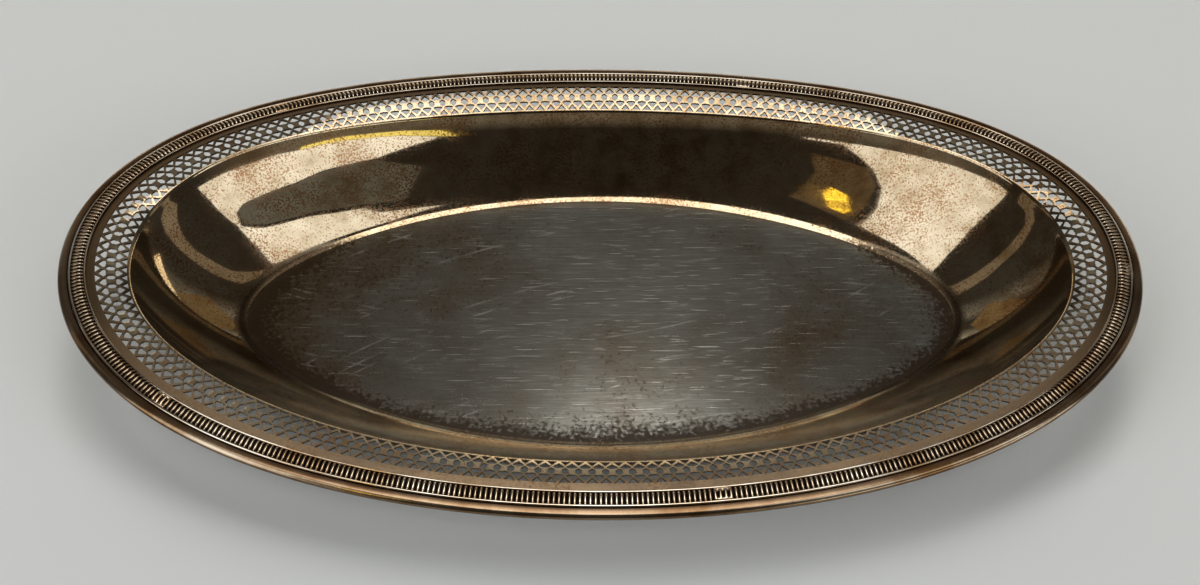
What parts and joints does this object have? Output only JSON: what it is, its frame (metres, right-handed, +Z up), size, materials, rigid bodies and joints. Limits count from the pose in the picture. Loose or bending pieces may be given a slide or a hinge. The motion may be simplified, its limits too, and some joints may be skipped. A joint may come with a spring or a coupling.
{
  "type": "bread tray",
  "caption": "Oval silver-plated bread tray with a flat floor, coved wall, pierced trellis flange and an applied reeded border.",
  "frame": {"origin": "middle of the flat floor's underside, on the table", "axes": "+X along the tray's length, +Y across it, +Z up"},
  "size_m": [0.3168, 0.1836, 0.0318],
  "materials": {
    "plated_sheet": "pressed sheet with aged silver plate, brown tarnish and fine scratches",
    "plated_border": "rolled moulding with aged silver plate, worn bright on its high lines"
  },
  "bodies": {
    "root": {"tray_body": "plated_sheet", "border_length_1": "plated_border", "border_length_2": "plated_border", "border_length_3": "plated_border", "border_length_4": "plated_border", "border_length_5": "plated_border"}
  },
  "joints": []
}
